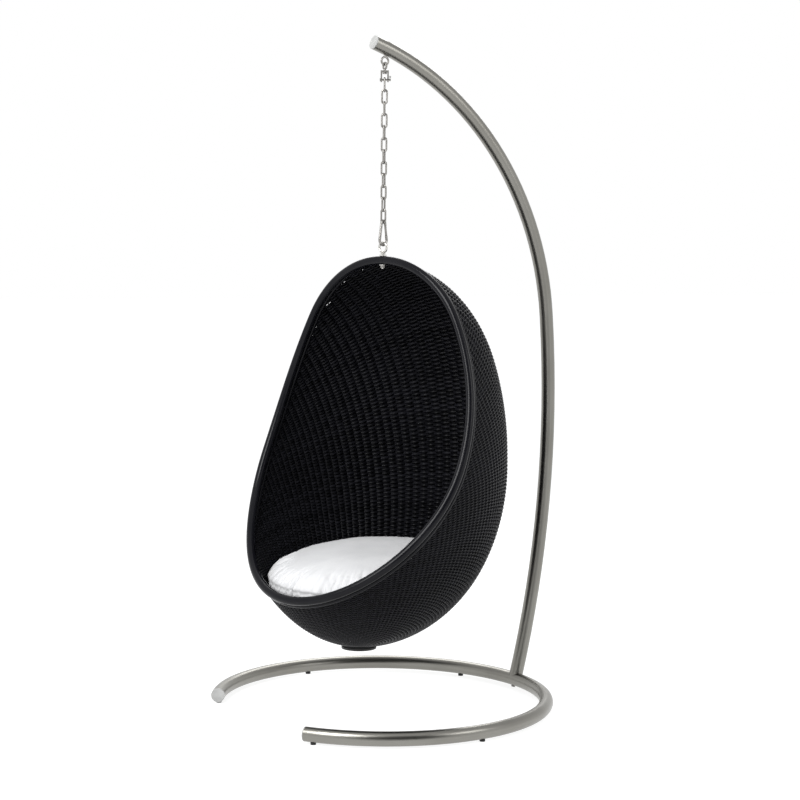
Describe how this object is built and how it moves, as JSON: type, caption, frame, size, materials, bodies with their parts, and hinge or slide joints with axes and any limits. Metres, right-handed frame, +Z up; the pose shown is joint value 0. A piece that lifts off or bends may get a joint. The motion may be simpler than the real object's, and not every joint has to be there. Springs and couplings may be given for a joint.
{
  "type": "hanging egg chair",
  "caption": "Hanging egg chair: a woven teardrop basket with a round cushion, hung by a chain from a curved mast on an open floor ring.",
  "frame": {"origin": "middle of the bounding box's footprint, on the floor", "axes": "+Z up; +Y towards the mast's foot; the floor ring's open gap faces -Y; the chair is stored turned 16 degrees anticlockwise about the hanging axis"},
  "size_m": [1.0319, 1.0638, 2.0002],
  "materials": {
    "steel": "satin brushed stainless tube, slightly warm grey",
    "plug": "light grey end discs",
    "foot": "dark rubber",
    "zinc": "dull zinc-plated steel",
    "eye": "bright plated steel",
    "rim": "satin black powder coat",
    "weave": "black woven plastic cane with a soft sheen",
    "disc": "black",
    "canvas": "off-white woven fabric over soft filling"
  },
  "bodies": {
    "stand": {"ring_long_tube": "steel", "ring_short_tube": "steel", "ring_sleeve": "zinc", "ring_end_plugs": "plug", "ring_feet": "foot", "mast": "steel", "mast_spigot": "zinc", "mast_bolt": "zinc", "mast_washer": "zinc", "mast_end_cap": "plug", "top_eye": "zinc"},
    "swivel_eye": {"swivel_eye": "zinc"},
    "swivel_jaw": {"swivel_jaw": "zinc", "swivel_washer": "zinc", "jaw_pin": "zinc", "jaw_split_pin": "zinc"},
    "upper_chain": {"chain_link_01": "zinc", "chain_link_02": "zinc", "chain_link_03": "zinc"},
    "middle_chain": {"chain_link_04": "zinc", "chain_link_05": "zinc", "chain_link_06": "zinc", "chain_link_07": "zinc", "chain_link_08": "zinc"},
    "lower_chain": {"chain_link_09": "zinc", "chain_link_10": "zinc", "chain_link_11": "zinc", "chain_link_12": "zinc"},
    "carabiner": {"carabiner_body": "zinc", "gate_pin": "zinc"},
    "gate": {"carabiner_gate": "zinc", "gate_spring": "zinc"},
    "chair": {"chair_eye": "eye", "eye_washer": "eye", "eye_nut": "eye", "rim_tube": "rim", "border_rod": "rim", "woven_shell": "weave", "base_disc": "disc", "cushion": "canvas"}
  },
  "joints": [
    {"name": "hanger_swing", "type": "hinge", "parent": "stand", "child": "swivel_eye", "pos_m": [0, -0.10771, 1.92231], "axis": [1, 0, 0], "range_deg": [-20, 6]},
    {"name": "chair_swivel", "type": "hinge", "parent": "swivel_eye", "child": "swivel_jaw", "pos_m": [0, -0.10771, 1.89981], "axis": [0, 0, 1], "continuous": true},
    {"name": "chain_swing", "type": "hinge", "parent": "swivel_jaw", "child": "upper_chain", "pos_m": [0, -0.10771, 1.87281], "axis": [0.5299, 0.848, 0], "range_deg": [-12, 12]},
    {"name": "upper_chain_bend", "type": "hinge", "parent": "upper_chain", "child": "middle_chain", "pos_m": [0, -0.10771, 1.76806], "axis": [-0.788, 0.6157, 0], "range_deg": [-8, 8]},
    {"name": "lower_chain_bend", "type": "hinge", "parent": "middle_chain", "child": "lower_chain", "pos_m": [0, -0.10771, 1.59306], "axis": [0.7986, 0.6018, 0], "range_deg": [-8, 8]},
    {"name": "carabiner_swing", "type": "hinge", "parent": "lower_chain", "child": "carabiner", "pos_m": [0, -0.10771, 1.45306], "axis": [-0.9063, -0.4226, 0], "range_deg": [-12, 12]},
    {"name": "chair_tilt", "type": "hinge", "parent": "carabiner", "child": "chair", "pos_m": [0, -0.10771, 1.39591], "axis": [0.9613, 0.2756, 0], "range_deg": [-8, 8]},
    {"name": "gate_opening", "type": "hinge", "parent": "carabiner", "child": "gate", "pos_m": [-0.00371, -0.09477, 1.41428], "axis": [0.9613, 0.2756, 0], "range_deg": [0, 20], "stiffness_Nm_per_rad": 0.02, "springref_deg": -17.19}
  ]
}
